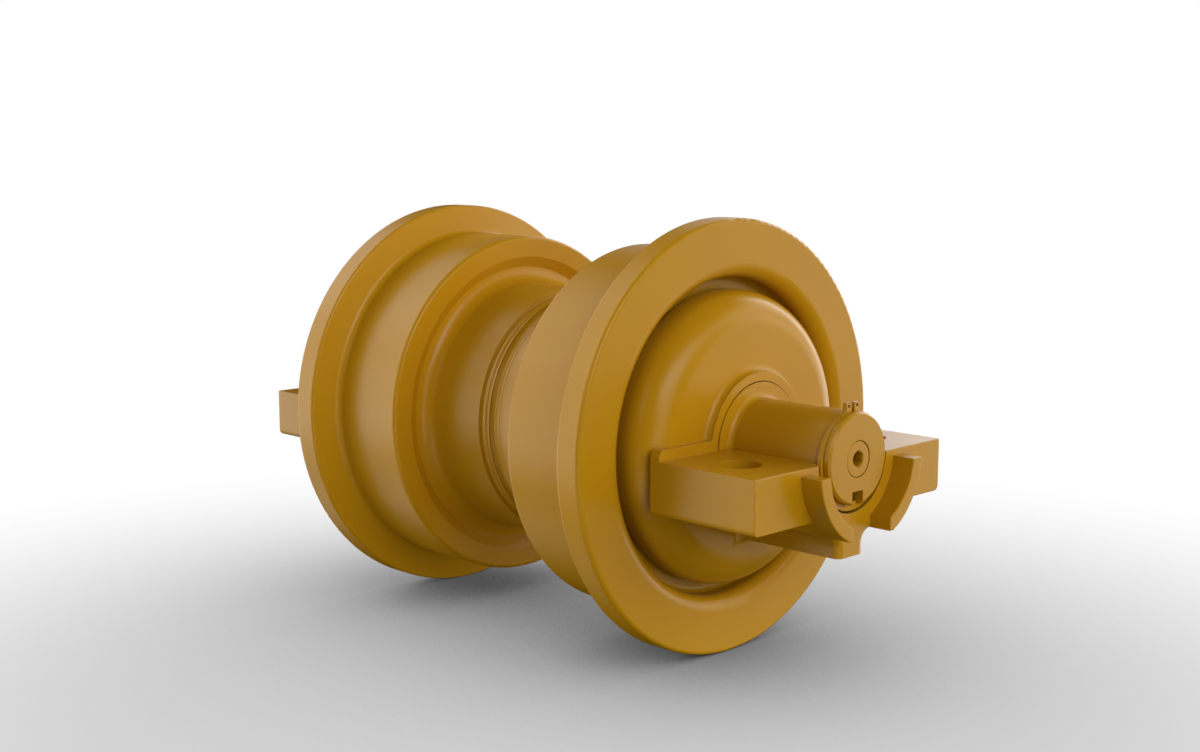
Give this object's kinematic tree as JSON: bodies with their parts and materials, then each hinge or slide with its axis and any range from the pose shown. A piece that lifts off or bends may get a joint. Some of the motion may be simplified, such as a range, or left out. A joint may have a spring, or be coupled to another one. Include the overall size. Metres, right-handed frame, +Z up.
{
  "type": "single flange track roller",
  "caption": "Single flange track roller: flanged shell turning on a shaft held by two end collars with bolt-down ears.",
  "frame": {"origin": "centre of the roller, on the spin axis midway between the two halves of the shell", "axes": "+Y along the spin axis, away from the end with the oil plug; +Z up, out of the flat tops of the four mounting ears' holes; +X across the roller"},
  "size_m": [0.315, 0.5576, 0.315],
  "materials": {
    "yellow_paint": "satin yellow-ochre machine enamel",
    "seal_iron": "lapped hard iron",
    "black_rubber": "matt",
    "bronze": "machined bronze",
    "screw_steel": "blackened steel",
    "washer_copper": "soft copper"
  },
  "bodies": {
    "shaft_and_collars": {"shaft": "yellow_paint", "oil_plug": "yellow_paint", "plug_washer": "washer_copper", "end_collar_plug_end": "yellow_paint", "end_collar_plain_end": "yellow_paint", "fixed_seal_ring_plug_end": "seal_iron", "fixed_seal_ring_plain_end": "seal_iron", "fixed_rubber_ring_plug_end": "black_rubber", "fixed_rubber_ring_plain_end": "black_rubber", "oil_ring_plug_end": "black_rubber", "oil_ring_plain_end": "black_rubber", "retaining_ring_plug_end": "yellow_paint", "retaining_ring_plain_end": "yellow_paint", "shaft_key_plug_end": "yellow_paint", "shaft_key_plain_end": "yellow_paint"},
    "roller_shell": {"weld_ring": "yellow_paint", "rim_half_plug_end": "yellow_paint", "rim_half_plain_end": "yellow_paint", "bushing_plug_end": "bronze", "bushing_plain_end": "bronze", "bushing_bolts_plug_end": "screw_steel", "bushing_bolts_plain_end": "screw_steel", "rotating_seal_ring_plug_end": "seal_iron", "rotating_seal_ring_plain_end": "seal_iron", "rotating_rubber_ring_plug_end": "black_rubber", "rotating_rubber_ring_plain_end": "black_rubber"}
  },
  "joints": [
    {"name": "shell_spin", "type": "hinge", "parent": "shaft_and_collars", "child": "roller_shell", "pos_m": [0, 0, 0], "axis": [0, 1, 0], "continuous": true}
  ]
}
